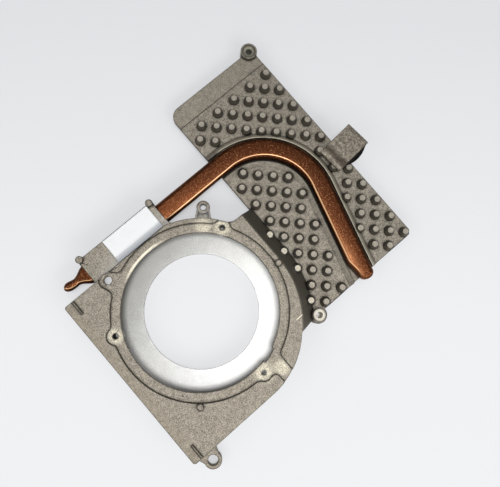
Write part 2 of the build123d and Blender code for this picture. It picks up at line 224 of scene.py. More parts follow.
def softenedCopy(name, nodeName, material, radius):
    # a merged copy of a CAD node with its edges rounded; level faces stay flat, walls and edges smooth
    bm = bmesh.new()
    bm.from_mesh(cadNodes[nodeName].data)
    bmesh.ops.remove_doubles(bm, verts=bm.verts, dist=softEdge["merge"] * mm)
    least = math.radians(softEdge["flatAngle"])
    most = math.radians(softEdge["sharpAngle"])
    for region in list(levelRegions(bm, least)):
        if len(region) > 2:
            evenRegion(bm, region)
    bmesh.ops.delete(bm, geom=[e for e in bm.edges if not e.link_faces], context="EDGES")
    bmesh.ops.delete(bm, geom=[v for v in bm.verts if not v.link_faces], context="VERTS")
    bm.normal_update()
    for face in bm.faces:
        face.smooth = any(least < e.calc_face_angle(0) < most for e in face.edges)
    sharp = [e for e in bm.edges if e.calc_face_angle(0) >= most]
    surface = BVHTree.FromBMesh(bm)
    rounded = bmesh.ops.bevel(
        bm, geom=sharp, offset=radius * mm, offset_type="OFFSET", segments=softEdge["segments"],
        profile=0.5, affect="EDGES", clamp_overlap=False, loop_slide=True,
    )
    for face in rounded["faces"]:
        face.smooth = True
    # a corner that slid off the solid goes back to it
    for vert in bm.verts:
        spot, _, _, away = surface.find_nearest(vert.co)
        if away > softEdge["slide"] * radius * mm:
            vert.co = spot
    bmesh.ops.triangulate(bm, faces=bm.faces[:])
    print(name, len(bm.faces), "triangles,", sum(not e.is_manifold for e in bm.edges), "open edges")
    mesh = meshFrom(bm, name)
    mesh.set_sharp_from_angle(angle=math.radians(softEdge["smoothAngle"]))
    piece = addObject(name, mesh, material)
    return modified(piece, "WEIGHTED_NORMAL", mode="FACE_AREA", weight=100, keep_sharp=True)


# run of the heat pipe, which the finishes beside it follow too

pipeRun = {
    "x": -34.2, "startY": -20.5, "cornerY": 68.3, "bendRadius": 22.0, "fall": 15.95, "endX": 29.0,
    "middleZ": 6.2, "width": 7.2, "thick": 3.6, "shoulder": 0.95,
    "step": 0.8, "around": 56, "endSteps": 26, "smoothAngle": 60,
    "least": 0.05,  # an end's last width and thickness
    "neckAt": 5.0, "neckShift": -0.5, "neckWidth": 2.8, "neckThick": 2.5,
    "bulbEnd": 9.7, "bulbShift": -0.85, "bulbWidth": 3.3, "bulbThick": 3.0,
    "bulbSwell": 1.6, "bulbLean": 1.4, "bulbClose": 0.45,
    "noseTaper": 5.6, "noseRound": 2.4, "noseShift": 0.8, "noseWidth": 5.6, "noseSoft": 0.5,
    "noseDrop": 0.7,
}


def pipeBend():
    # middle of the bend, direction of the last straight, turn, and reach of the bend from the corner
    p = pipeRun
    fall = math.radians(p["fall"])
    out = Vector((math.cos(fall), -math.sin(fall), 0))
    turn = math.pi / 2 + fall
    reach = p["bendRadius"] * math.tan(turn / 2)
    centre = Vector((p["x"] + p["bendRadius"], p["cornerY"] - reach, p["middleZ"]))
    return centre, out, turn, reach


# shader helpers

def newMaterial(name):
    material = bpy.data.materials.new(name)
    material.use_nodes = True
    tree = material.node_tree
    tree.nodes.clear()
    out = tree.nodes.new("ShaderNodeOutputMaterial")
    shader = tree.nodes.new("ShaderNodeBsdfPrincipled")
    tree.links.new(shader.outputs["BSDF"], out.inputs["Surface"])
    return material, tree, shader


def feed(tree, node, values):
    # each input gets a link or a fixed value
    for key, value in values.items():
        if isinstance(value, bpy.types.NodeSocket):
            tree.links.new(value, node.inputs[key])
        else:
            node.inputs[key].default_value = value
    return node


def put(tree, kind, values=None, **settings):
    return feed(tree, assign(tree.nodes.new(kind), **settings), values or {})


def mathNode(tree, operation, a, b=0.0):
    return put(tree, "ShaderNodeMath", {0: a, 1: b}, operation=operation).outputs[0]


def chain(tree, operation, *values):
    # one operation over several values in turn
    result = values[0]
    for value in values[1:]:
        result = mathNode(tree, operation, result, value)
    return result


def product(tree, *values):
    return chain(tree, "MULTIPLY", *values)


def vectorNode(tree, operation, a, b=(0, 0, 0)):
    outputs = put(tree, "ShaderNodeVectorMath", {0: a, 1: b}, operation=operation).outputs
    return outputs["Value" if operation in ("DOT_PRODUCT", "LENGTH") else "Vector"]


def flattened(tree, vector):
    return vectorNode(tree, "MULTIPLY", vector, (1, 1, 0))


def axes(tree, vector):
    outputs = put(tree, "ShaderNodeSeparateXYZ", {0: vector}).outputs
    return outputs["X"], outputs["Y"], outputs["Z"]


def mixColor(tree, mask, a, b):
    # by number, because the node's inputs share their names
    return put(tree, "ShaderNodeMix", {0: mask, 6: a, 7: b}, data_type="RGBA").outputs[2]


def layered(tree, color, layers):
    # each mask lays its colour over what is below
    for mask, tint in layers:
        color = mixColor(tree, mask, color, tint)
    return color


def remap(tree, value, low, high, toLow=0.0, toHigh=1.0):
    values = {"Value": value, "From Min": low, "From Max": high, "To Min": toLow, "To Max": toHigh}
    return put(tree, "ShaderNodeMapRange", values, clamp=True).outputs["Result"]


def band(tree, value, start, full, last, end):
    # rises from start to full and falls from last to end
    return product(tree, remap(tree, value, start, full), remap(tree, value, last, end, 1.0, 0.0))


def noise(tree, vector, scale, detail=3.0, rough=0.55):
    values = {"Vector": vector, "Scale": scale, "Detail": detail, "Roughness": rough}
    return put(tree, "ShaderNodeTexNoise", values).outputs["Fac"]


def objectPlace(tree):
    return put(tree, "ShaderNodeTexCoord").outputs["Object"]


# shader groups

def newGroup(name, inputs, outputs):
    # inputs that come with a number are floats, the others vectors, and all outputs are floats
    group = bpy.data.node_groups.new(name, "ShaderNodeTree")
    for label, value in inputs.items():
        kind = "NodeSocketVector" if value is None else "NodeSocketFloat"
        socket = group.interface.new_socket(label, in_out="INPUT", socket_type=kind)
        if value is not None:
            socket.default_value = value
    for label in outputs:
        group.interface.new_socket(label, in_out="OUTPUT", socket_type="NodeSocketFloat")
    return group, group.nodes.new("NodeGroupInput").outputs, group.nodes.new("NodeGroupOutput")


def useGroup(tree, group, values):
    return put(tree, "ShaderNodeGroup", values, node_tree=group).outputs


def swing(group, value, depth):
    # a noise value as a swing to both sides of zero
    return product(group, mathNode(group, "SUBTRACT", value, 0.5), depth)


def grainGroup():
    # fine blasted grain and slow blotches, as a tone around one and a height
    inputs = {"Place": None, "Grain Scale": 3000.0, "Blotch Scale": 260.0,
              "Grain Depth": 0.2, "Blotch Depth": 0.2}
    group, start, end = newGroup("surfaceGrain", inputs, ["Tone", "Height"])
    fine = noise(group, start["Place"], start["Grain Scale"], 2.0)
    blotch = noise(group, start["Place"], start["Blotch Scale"], 5.0, 0.62)
    fineTone = swing(group, fine, start["Grain Depth"])
    blotchTone = swing(group, blotch, start["Blotch Depth"])
    feed(group, end, {"Tone": chain(group, "ADD", fineTone, blotchTone, 1.0), "Height": fine})
    return group


def edgeGroup():
    # mask of edges, which the materials use for painted edge shade, from how far the rounded normal leaves
    # the true one
    group, start, end = newGroup("edgeNearness", {"Radius": 0.0003, "Low": 0.02, "High": 0.2}, ["Mask"])
    rounded = put(group, "ShaderNodeBevel", {"Radius": start["Radius"]}, samples=4).outputs["Normal"]
    true = put(group, "ShaderNodeNewGeometry").outputs["True Normal"]
    away = mathNode(group, "SUBTRACT", 1.0, vectorNode(group, "DOT_PRODUCT", rounded, true))
    feed(group, end, {"Mask": remap(group, away, start["Low"], start["High"])})
    return group


def spotGroup():
    # soft round spot in plan at a given place
    inputs = {"Place": None, "Centre": None, "Radius": 0.003, "Ragged": 0.3}
    group, start, end = newGroup("roundSpot", inputs, ["Mask"])
    apart = vectorNode(group, "SUBTRACT", start["Place"], start["Centre"])
    far = vectorNode(group, "LENGTH", flattened(group, apart))
    share = mathNode(group, "DIVIDE", far, start["Radius"])
    bite = swing(group, noise(group, start["Place"], 700.0, 4.0, 0.7), start["Ragged"])
    feed(group, end, {"Mask": remap(group, mathNode(group, "ADD", share, bite), 0.45, 1.0, 1.0, 0.0)})
    return group


def pipeGroup():
    # how far a place lies outwards of the pipe's middle line, and how far past the bend's end
    group, start, end = newGroup("besidePipe", {"Place": None}, ["Out", "Along"])
    centre, out, _, _ = pipeBend()
    flat = flattened(group, vectorNode(group, "SUBTRACT", start["Place"], centre * mm))
    along = vectorNode(group, "DOT_PRODUCT", flat, out)
    beside = vectorNode(group, "DOT_PRODUCT", flat, (-out.y, out.x, 0))
    around = vectorNode(group, "LENGTH", flat)
    straight = mathNode(group, "GREATER_THAN", along, 0.0)
    curved = mathNode(group, "SUBTRACT", 1.0, straight)
    away = mathNode(group, "ADD", product(group, straight, beside), product(group, curved, around))
    feed(group, end, {"Out": mathNode(group, "SUBTRACT", away, pipeRun["bendRadius"] * mm), "Along": along})
    return group


surfaceGrain = grainGroup()
edgeNearness = edgeGroup()
roundSpot = spotGroup()
besidePipe = pipeGroup()
print("shader groups built")


def spotMask(tree, place, spot, ragged):
    x, y, radius = inMm(spot)
    values = {"Place": place, "Centre": (x, y, 0), "Radius": radius, "Ragged": ragged}
    return useGroup(tree, roundSpot, values)["Mask"]


def edgeMask(tree, edge):
    reach, low, high = edge
    return useGroup(tree, edgeNearness, {"Radius": reach * mm, "Low": low, "High": high})["Mask"]


def startFinish(finish):
    # a material with its grain
    material, tree, shader = newMaterial(finish["name"])
    place = objectPlace(tree)
    scale, blotchScale, depth, blotchDepth = finish["grain"]
    grain = useGroup(tree, surfaceGrain, {
        "Place": place, "Grain Scale": scale, "Blotch Scale": blotchScale,
        "Grain Depth": depth, "Blotch Depth": blotchDepth,
    })
    return material, tree, shader, place, grain


def tonedColor(tree, finish, tone):
    return mixColor(tree, remap(tree, tone, *finish["toneSpan"]), finish["dark"], finish["color"])


def addBump(tree, shader, bump, height):
    strength, depth = bump
    node = put(tree, "ShaderNodeBump", {"Strength": strength, "Distance": depth * mm, "Height": height})
    feed(tree, shader, {"Normal": node.outputs["Normal"]})


def endFinish(tree, shader, finish, color, tone, height):
    # colour, roughness that follows the tone, and bump
    low, high, more, less = finish["roughTone"]
    rough = remap(tree, tone, low, high, finish["roughness"] + more, finish["roughness"] - less)
    feed(tree, shader, {"Base Color": color, "Metallic": finish["metal"], "Roughness": rough})
    addBump(tree, shader, finish["bump"], height)


# die-cast aluminium

castFinish = {
    "name": "castAluminium", "metal": 0.92, "roughness": 0.64, "roughTone": (0.7, 1.3, 0.1, 0.08),
    "color": (0.46, 0.415, 0.343, 1), "dark": (0.20, 0.178, 0.145, 1), "toneSpan": (0.75, 1.2),
    "grain": (3200.0, 700.0, 1.5, 0.5), "bump": (0.35, 0.05),
    "plateFrom": (14.0, 24.0), "levelTilt": (0.93, 0.98),
    # rubbed spots, whose colour also paints light on the channel's side and on the tops of the pins on the
    # slope, and a browner strip at the foot of the housing
    "worn": (0.80, 0.745, 0.60, 1), "wornRagged": 0.9, "wornTone": (0.85, 1.1, 0.4, 0.95),
    "wornSpots": [
        (28.8, 2.8, 4.2), (31.5, 8.3, 3.4), (-16.8, 23.5, 3.6), (-12.0, -26.3, 3.4), (-21.5, 19.0, 3.6),
    ],
    "brown": (0.34, 0.29, 0.225, 1), "brownEdge": (-28.6, -31.2), "brownDepth": 0.35,
    # painted shade on walls and slopes, less of it at the top of the housing
    "wallShade": (0.23, 0.21, 0.172, 1), "wallShadeTilt": (0.64, 0.78), "wallShadeDepth": 0.9,
    "wallShadeTop": (10.2, 10.6), "wallShadeTopDepth": 0.45, "pinWallShade": (0.135, 0.123, 0.10, 1),
    # painted shade along edges and in corners
    "line": (0.024, 0.022, 0.018, 1), "lineEdge": (0.50, 0.02, 0.08),
    "lineFade": (30.0, 36.0), "lineDepth": (0.97, 0.75),
    "cornerShadeReach": 1.1, "cornerShadeSpan": (0.6, 0.95), "cornerShadeDepth": 0.93,
    # painted light on the outer side of the pipe's channel
    "channel": (3.75, 4.0, 4.4, 5.6), "channelFrom": (39.0, 41.0), "channelTilt": (0.3, 0.6),
    "channelDepth": 0.9,
    # painted light in the fan space
    "inside": (0.94, 0.93, 0.90, 1), "insideReach": (31.0, 38.0), "insideLevel": (9.3, 9.6),
    "insideFacing": (-0.2, 0.1), "insideBoss": (-11.98, -26.3, 3.6),
    # painted highlight on the tops of the pins, brighter on those on the slope
    "pinTone": (0.54, 0.495, 0.42, 1), "pinTop": (7.14, 7.20, 7.36, 7.42), "pinTopDepth": 0.48,
    "tip": (7.50, 7.58, 7.72, 7.80), "tipDepth": 0.6,
    # bright marks: a real scratch, and a painted highlight along the opening's edge
    "glint": (1.0, 0.94, 0.78, 1), "glintRing": (26.2, 26.5, 27.0, 27.4),
    "glintPlace": (-25.4, -3.5, 10.5), "glintDepth": 0.85,
    "scratch": ((22.84, 23.65), (0.16, 1.55), (0.6, 0.7)),  # middle, half sizes, hard shares
    "scratchDepth": 0.9,
    # painted shade on the rims of holes and on the corner boss, and painted light on hole walls and floors
    # where the floor would show through
    "cups": [
        (-16.78, 23.53, 1.45, (0.06, 0.055, 0.048, 1)),
        (-11.98, -26.3, 1.45, (0.06, 0.055, 0.048, 1)),
        (27.2, 29.7, 2.6, (0.90, 0.86, 0.75, 1)),
        (-60.0, 72.9, 2.7, (0.30, 0.29, 0.235, 1)),
        (28.77, 2.77, 1.0, (0.85, 0.83, 0.77, 1)),
        (-16.78, 23.53, 0.8, (0.40, 0.37, 0.35, 1)),
        (-11.98, -26.3, 0.8, (0.55, 0.55, 0.53, 1)),
    ],
    "cupRagged": 0.1, "cupDepth": 0.85,
    # painted shade of a small pit
    "pit": (17.1, -22.0, 0.35), "pitRagged": 0.3, "pitColor": (0.03, 0.028, 0.025, 1),
}


def castMaterial():
    c = castFinish
    material, tree, shader, place, grain = startFinish(c)
    tone = grain["Tone"]
    x, y, z = axes(tree, place)
    facing = put(tree, "ShaderNodeNewGeometry").outputs
    tilt = axes(tree, facing["Normal"])[2]
    level = remap(tree, tilt, *c["levelTilt"])
    onPlate = remap(tree, y, *inMm(c["plateFrom"]))
    spots = [spotMask(tree, place, spot, c["wornRagged"]) for spot in c["wornSpots"]]
    worn = product(tree, chain(tree, "MAXIMUM", *spots), remap(tree, tone, *c["wornTone"]))
    # browner towards the housing's low-Y edge
    brownStrip = remap(tree, y, *inMm(c["brownEdge"]), 0.0, c["brownDepth"])
    # painted shade: walls and slopes are painted darker, as they face the dim room
    wallShade = remap(tree, tilt, *c["wallShadeTilt"], c["wallShadeDepth"], 0.0)
    wallShade = product(tree, wallShade, remap(tree, z, *inMm(c["wallShadeTop"]), 1.0, c["wallShadeTopDepth"]))
    wallShadeColor = mixColor(tree, onPlate, c["wallShade"], c["pinWallShade"])
    # painted shade along edges, strong on the housing and fainter on the plate, and painted shade in
    # corners from ambient occlusion
    depth = remap(tree, y, *inMm(c["lineFade"]), *c["lineDepth"])
    line = product(tree, edgeMask(tree, c["lineEdge"]), depth)
    reach = {"Distance": c["cornerShadeReach"] * mm}
    corner = put(tree, "ShaderNodeAmbientOcclusion", reach, samples=8).outputs["AO"]
    cornerShade = remap(tree, corner, *c["cornerShadeSpan"], c["cornerShadeDepth"], 0.0)
    # painted light: the channel's outer side along the pipe is painted bright in the worn colour, as if it
    # catches the light
    out = useGroup(tree, besidePipe, {"Place": place})["Out"]
    lit = product(tree, band(tree, out, *inMm(c["channel"])), remap(tree, y, *inMm(c["channelFrom"])),
                  remap(tree, tilt, *c["channelTilt"]), c["channelDepth"])
    # painted light: the inside of the fan space is painted bright, against the shade under the lip
    flat = flattened(tree, place)
    far = vectorNode(tree, "LENGTH", flat)
    outward = mathNode(tree, "DIVIDE", vectorNode(tree, "DOT_PRODUCT", facing["True Normal"], flat), far)
    boss = spotMask(tree, place, c["insideBoss"], c["cupRagged"])
    inner = product(tree, remap(tree, far, *inMm(c["insideReach"]), 1.0, 0.0),
                    remap(tree, z, *inMm(c["insideLevel"]), 1.0, 0.0),
                    remap(tree, outward, *c["insideFacing"], 1.0, 0.0),
                    mathNode(tree, "SUBTRACT", 1.0, boss))
    # painted highlight: level tops of the pins are painted lighter than their sides, and those on the
    # sloped band brighter still in the worn colour
    top = product(tree, band(tree, z, *inMm(c["pinTop"])), onPlate, level, c["pinTopDepth"])
    tip = product(tree, band(tree, z, *inMm(c["tip"])), level, c["tipDepth"])
    # one short scratch on the housing
    sides = []
    for value, middle, half, hard in zip((x, y), *c["scratch"]):
        apart = mathNode(tree, "ABSOLUTE", mathNode(tree, "SUBTRACT", value, middle * mm))
        sides.append(remap(tree, apart, half * hard * mm, half * mm, 1.0, 0.0))
    scratch = product(tree, *sides, c["scratchDepth"])
    # painted highlight: a glint along one stretch of the opening's edge
    stretch = spotMask(tree, place, c["glintPlace"], c["wornRagged"])
    glint = product(tree, band(tree, far, *inMm(c["glintRing"])), stretch, c["glintDepth"])
    layers = [
        (worn, c["worn"]), (brownStrip, c["brown"]), (wallShade, wallShadeColor), (line, c["line"]), (cornerShade, c["line"]),
        (lit, c["worn"]), (inner, c["inside"]), (top, c["pinTone"]), (tip, c["worn"]),
        (scratch, c["glint"]), (glint, c["glint"]),
    ]
    # painted shade on hole rims, and painted light on hole walls and floors
    for *spot, color in c["cups"]:
        layers.append((product(tree, spotMask(tree, place, spot, c["cupRagged"]), c["cupDepth"]), color))
    # painted shade: a small pit as a dark dot
    layers.append((spotMask(tree, place, c["pit"], c["pitRagged"]), c["pitColor"]))
    color = layered(tree, tonedColor(tree, c, tone), layers)
    endFinish(tree, shader, c, color, tone, grain["Height"])
    return material


# bare copper, tarnished brown

copperFinish = {
    "name": "tarnishedCopper", "metal": 1.0, "roughness": 0.36, "roughTone": (0.7, 1.3, 0.12, 0.06),
    "color": (0.132, 0.042, 0.0165, 1), "dark": (0.060, 0.019, 0.008, 1), "toneSpan": (0.72, 1.15),
    "grain": (1900.0, 160.0, 0.8, 0.6), "bump": (0.25, 0.04),
    "burnt": [(-24.0, 54.0, 34.0, 0.75), (-2.0, 58.0, 26.0, 0.5), (-34.0, 36.0, 22.0, 0.3)],
    "burntRagged": 0.4,
    "bright": (0.46, 0.20, 0.09, 1), "fleck": (2600.0, 2.0, 0.6), "fleckSpan": (0.55, 0.70, 0.0, 0.75),
    "sheenAlong": (16.0, 26.0), "sheenSide": (-3.4, 0.8), "sheenTone": (0.85, 1.1, 0.3, 0.5),
    "shoulderHighlight": (0.86, 0.51, 0.27, 1), "highlightWay": (0.75, -0.85, 0.0),
    "highlightBand": (0.24, 0.32, 0.40, 0.46), "highlightEnd": (23.5, 27.0),
}


def copperMaterial():
    c = copperFinish
    material, tree, shader, place, grain = startFinish(c)
    tone = grain["Tone"]
    layers = []
    for *spot, depth in c["burnt"]:
        layers.append((product(tree, spotMask(tree, place, spot, c["burntRagged"]), depth), c["dark"]))
    layers.append((remap(tree, noise(tree, place, *c["fleck"]), *c["fleckSpan"]), c["bright"]))
    # painted sheen: the inner side of the last straight is painted brighter towards its end
    beside = useGroup(tree, besidePipe, {"Place": place})
    paintedSheen = product(tree, remap(tree, beside["Along"], *inMm(c["sheenAlong"])),
                     remap(tree, beside["Out"], *inMm(c["sheenSide"]), 1.0, 0.0),
                     remap(tree, tone, *c["sheenTone"]))
    layers.append((paintedSheen, c["bright"]))
    # painted highlight: the shoulder on the inside of the bend is painted bright gold where the lamps would
    # shine on it
    facing = put(tree, "ShaderNodeNewGeometry").outputs["Normal"]
    inward = vectorNode(tree, "DOT_PRODUCT", facing, c["highlightWay"])
    end = remap(tree, axes(tree, place)[0], *inMm(c["highlightEnd"]), 1.0, 0.0)
    layers.append((product(tree, band(tree, inward, *c["highlightBand"]), end), c["shoulderHighlight"]))
    color = layered(tree, tonedColor(tree, c, tone), layers)
    endFinish(tree, shader, c, color, tone, grain["Height"])
    return material


# bright plated sheet and plain fin sheet

sheetFinish = {
    "roughTone": (0.75, 1.25, 0.08, 0.06), "grain": (2600.0, 420.0, 0.6, 0.2), "bump": (0.12, 0.02),
}
coverFinish = {
    **sheetFinish, "name": "platedSheet", "metal": 0.75, "roughness": 0.47,
    "color": (0.70, 0.697, 0.683, 1), "dark": (0.318, 0.315, 0.300, 1),
    "reflectionFade": (-22.0, 18.0), "reflectionFadeWay": (1.0, 0.25, 0.0), "reflectionFadeUneven": 0.05,
}
finFinish = {
    **sheetFinish, "name": "finSheet", "metal": 1.0, "roughness": 0.38,
    "color": (0.72, 0.72, 0.73, 1), "dark": (0.5, 0.5, 0.5, 1), "toneSpan": (0.75, 1.15),
}


def sheetMaterial(c):
    material, tree, shader, place, grain = startFinish(c)
    tone = grain["Tone"]
    if "reflectionFade" in c:
        # painted reflection: the sheet is painted darker towards one side, where it reflects less of the
        # room's light
        across = vectorNode(tree, "DOT_PRODUCT", place, c["reflectionFadeWay"])
        uneven = product(tree, mathNode(tree, "SUBTRACT", tone, 1.0), c["reflectionFadeUneven"])
        bright = remap(tree, mathNode(tree, "ADD", across, uneven), *inMm(c["reflectionFade"]))
        color = mixColor(tree, bright, c["dark"], c["color"])
    else:
        color = tonedColor(tree, c, tone)
    endFinish(tree, shader, c, color, tone, grain["Height"])
    return material


# white paper

paperFinish = {
    "name": "labelPaper", "metal": 0.0, "roughness": 0.55, "roughTone": (0.8, 1.2, 0.08, 0.08),
    "color": (0.92, 0.925, 0.925, 1), "dark": (0.84, 0.84, 0.825, 1), "toneSpan": (0.75, 1.0),
    "grain": (5000.0, 220.0, 0.2, 0.4), "bump": (0.15, 0.02),
    "bent": (0.50, 0.525, 0.56, 1), "bentFrom": (-32.6, -30.2),
}


def paperMaterial():
    c = paperFinish
    material, tree, shader, place, grain = startFinish(c)
    # painted shade: the part bent up to the housing is painted bluish grey
    bent = remap(tree, axes(tree, place)[0], *inMm(c["bentFrom"]))
    color = mixColor(tree, bent, tonedColor(tree, c, grain["Tone"]), c["bent"])
    endFinish(tree, shader, c, color, grain["Tone"], grain["Height"])
    return material


# metal-plated woven cloth, and dark foam

clothFinish = {
    "name": "platedCloth", "metal": 0.55, "roughness": 0.55, "roughTone": (0.7, 1.3, 0.1, 0.1),
    "color": (0.245, 0.206, 0.162, 1), "dark": (0.085, 0.073, 0.058, 1), "toneSpan": (0.7, 1.1),
    "grain": (2600.0, 1000.0, 0.6, 0.9), "bump": (0.5, 0.05), "thread": 0.22,
    "worn": (0.66, 0.60, 0.48, 1), "wornWeave": (-1.0, 1.0, 0.75, 1.15), "wornSpan": (1.0, 1.3),
    "line": (0.04, 0.036, 0.03, 1), "lineEdge": (0.6, 0.03, 0.2), "lineDepth": 0.8,
}


def clothMaterial():
    c = clothFinish
    material, tree, shader, _, grain = startFinish(c)
    tone = grain["Tone"]
    u, v, _ = axes(tree, put(tree, "ShaderNodeUVMap", uv_map="cloth").outputs["UV"])
    turns = math.pi / (c["thread"] * mm)
    weave = product(tree, *[mathNode(tree, "SINE", product(tree, way, turns)) for way in (u, v)])
    worn = remap(tree, product(tree, tone, remap(tree, weave, *c["wornWeave"])), *c["wornSpan"])
    # painted shade along the cloth's edges and folds
    line = product(tree, edgeMask(tree, c["lineEdge"]), c["lineDepth"])
    color = layered(tree, tonedColor(tree, c, tone), [(worn, c["worn"]), (line, c["line"])])
    endFinish(tree, shader, c, color, tone, weave)
    return material


foamFinish = {
    "name": "darkFoam", "roughness": 0.95, "specular": 0.1, "bump": (0.6, 0.1),
    "color": (0.014, 0.013, 0.012, 1), "pore": (0.004, 0.004, 0.004, 1),
    "poreScale": 2600.0, "poreSpan": (0.15, 0.5),
}


def foamMaterial():
    c = foamFinish
    material, tree, shader = newMaterial(c["name"])
    values = {"Vector": objectPlace(tree), "Scale": c["poreScale"]}
    cells = put(tree, "ShaderNodeTexVoronoi", values).outputs["Distance"]
    color = mixColor(tree, remap(tree, cells, *c["poreSpan"]), c["pore"], c["color"])
    values = {"Base Color": color, "Roughness": c["roughness"], "Specular IOR Level": c["specular"]}
    feed(tree, shader, values)
    addBump(tree, shader, c["bump"], cells)
    return material


castAluminium = castMaterial()
tarnishedCopper = copperMaterial()
platedSheet = sheetMaterial(coverFinish)
finSheet = sheetMaterial(finFinish)
labelPaper = paperMaterial()
platedCloth = clothMaterial()
darkFoam = foamMaterial()
print("materials built")


# frame casting, cover and fins

edgeRadius = {"castFrame": 0.14, "coverPlate": 0.10}

castFrame = softenedCopy("castFrame", "main_casting", castAluminium, edgeRadius["castFrame"])
dress(castFrame, "cast_aluminium", "main_casting")
coverPlate = softenedCopy("coverPlate", "fan_cover", platedSheet, edgeRadius["coverPlate"])
dress(coverPlate, "cover_sheet", "fan_cover")
for nodeName, node in cadNodes.items():
    if nodeName.startswith("fin_"):
        coat(node.data, finSheet)
print("casting, cover and fins dressed")


# cooling pins: round tapered pins over the casting's pin places, by Geometry Nodes

pinSet = {
    "topLevel": 7.2, "levelReach": 0.01, "sameTop": 1.5,
    "height": 2.4, "proud": 0.05, "footRadius": 1.84, "sideRadius": 1.77, "tipRadius": 1.10,
    "footCurve": (0.65, 0.08),  # share of the way to the side, and height
    "sideStart": (0.05, 0.22),  # inset and height
    "middle": 0.55, "edgeRadius": 0.12, "edgeSteps": 5,
    "markRadius": 0.46, "markWidth": 0.12, "markDepth": 0.02,
    "markInside": (0.3, 0.2),  # shares of the depth
    "slopeCentre": (3.0, -2.44), "slopeRadius": 38.7, "slopeLift": 0.4,
    "segments": 28, "smoothAngle": 40, "widthSpread": 0.012, "seed": 7,
}


def pinPlaces():
    # centres of the level faces at the pins' tops, read from the casting
    level, reach, apart = inMm((pinSet["topLevel"], pinSet["levelReach"], pinSet["sameTop"]))
    tops = []
    for face in cadNodes["main_casting"].data.polygons:
        if face.normal.z > 0.99 and abs(face.center.z - level) < reach:
            near = None
            for top in tops:
                if (top["sum"] / top["area"] - face.center).length < apart:
                    near = top
            if near is None:
                near = {"sum": Vector(), "area": 0.0}
                tops.append(near)
            near["sum"] += face.center * face.area
            near["area"] += face.area
    return [top["sum"] / top["area"] for top in tops]


def pinProfile():
    # radius and height from the foot up and over the top to the axis
    p = pinSet
    top = p["height"] + p["proud"]
    foot, side, tip = p["footRadius"], p["sideRadius"], p["tipRadius"]
    share, curveTop = p["footCurve"]
    inset, sideStart = p["sideStart"]
    points = [(foot, 0.0), (between(foot, side, share), curveTop), (side - inset, sideStart)]
    points.append((between(side, tip, p["middle"]), p["height"] * p["middle"]))
    r = p["edgeRadius"]
    points += arcPoints(tip - r, top - r, r, 0, 90, p["edgeSteps"])[1:]
    m, w, depth = p["markRadius"], p["markWidth"], p["markDepth"]
    rim, centre = p["markInside"]
    points += [(m + w, top), (m + w / 2, top - depth), (m - w / 2, top - depth)]
    points += [(m - w, top - depth * rim), (0.0, top - depth * centre)]
    return points


def pinShape():
    bm = bmesh.new()
    turns = [2 * math.pi * k / pinSet["segments"] for k in range(pinSet["segments"])]
    rings = []
    for r, z in pinProfile():
        if r == 0:
            rings.append([bm.verts.new((0, 0, z * mm))])
            continue
        rings.append([bm.verts.new((r * mm * math.cos(a), r * mm * math.sin(a), z * mm)) for a in turns])
    for low, high in zip(rings, rings[1:]):
        for k in range(len(low)):
            n = (k + 1) % len(low)
            ends = [high[0]] if len(high) == 1 else [high[n], high[k]]
            bm.faces.new([low[k], low[n], *ends])
    bm.faces.new(list(reversed(rings[0])))
    mesh = meshFrom(bm, "pinShape")
    shadeByAngle(mesh, pinSet["smoothAngle"])
    return addObject("pinShape", mesh, castAluminium)


def pinTree():
    tree = bpy.data.node_groups.new("pinsOnPlate", "GeometryNodeTree")
    kinds = {"Geometry": "Geometry", "Pin Shape": "Object", "Width Spread": "Float", "Seed": "Int",
             "Finish": "Material"}
    for label, kind in kinds.items():
        tree.interface.new_socket(label, in_out="INPUT", socket_type="NodeSocket" + kind)
    tree.interface.new_socket("Geometry", in_out="OUTPUT", socket_type="NodeSocketGeometry")
    start = tree.nodes.new("NodeGroupInput").outputs
    end = tree.nodes.new("NodeGroupOutput")
    points = put(tree, "GeometryNodeMeshToPoints", {"Mesh": start["Geometry"]})
    shape = put(tree, "GeometryNodeObjectInfo", {"Object": start["Pin Shape"]})
    turn = put(tree, "FunctionNodeRandomValue", {3: 2 * math.pi, "Seed": start["Seed"]}, data_type="FLOAT")
    facing = put(tree, "ShaderNodeCombineXYZ", {"Z": turn.outputs[1]})
    least = mathNode(tree, "SUBTRACT", 1.0, start["Width Spread"])
    most = mathNode(tree, "ADD", 1.0, start["Width Spread"])
    limits = {2: least, 3: most, "Seed": start["Seed"]}
    width = put(tree, "FunctionNodeRandomValue", limits, data_type="FLOAT")
    size = put(tree, "ShaderNodeCombineXYZ", {"X": width.outputs[1], "Y": width.outputs[1], "Z": 1.0})
    placed = put(tree, "GeometryNodeInstanceOnPoints", {
        "Points": points.outputs["Points"], "Instance": shape.outputs["Geometry"],
        "Rotation": facing.outputs[0], "Scale": size.outputs[0],
    })
    real = put(tree, "GeometryNodeRealizeInstances", {"Geometry": placed.outputs["Instances"]})
    values = {"Geometry": real.outputs["Geometry"], "Material": start["Finish"]}
    done = put(tree, "GeometryNodeSetMaterial", values)
    feed(tree, end, {"Geometry": done.outputs["Geometry"]})
    return tree


def slopeLift(centre):
    # pins on the sloped band come out a little higher
    x, y = centre.x / mm - pinSet["slopeCentre"][0], centre.y / mm - pinSet["slopeCentre"][1]
    out = math.hypot(x, y) if x > 0 else y
    return pinSet["slopeLift"] * mm if out < pinSet["slopeRadius"] else 0.0


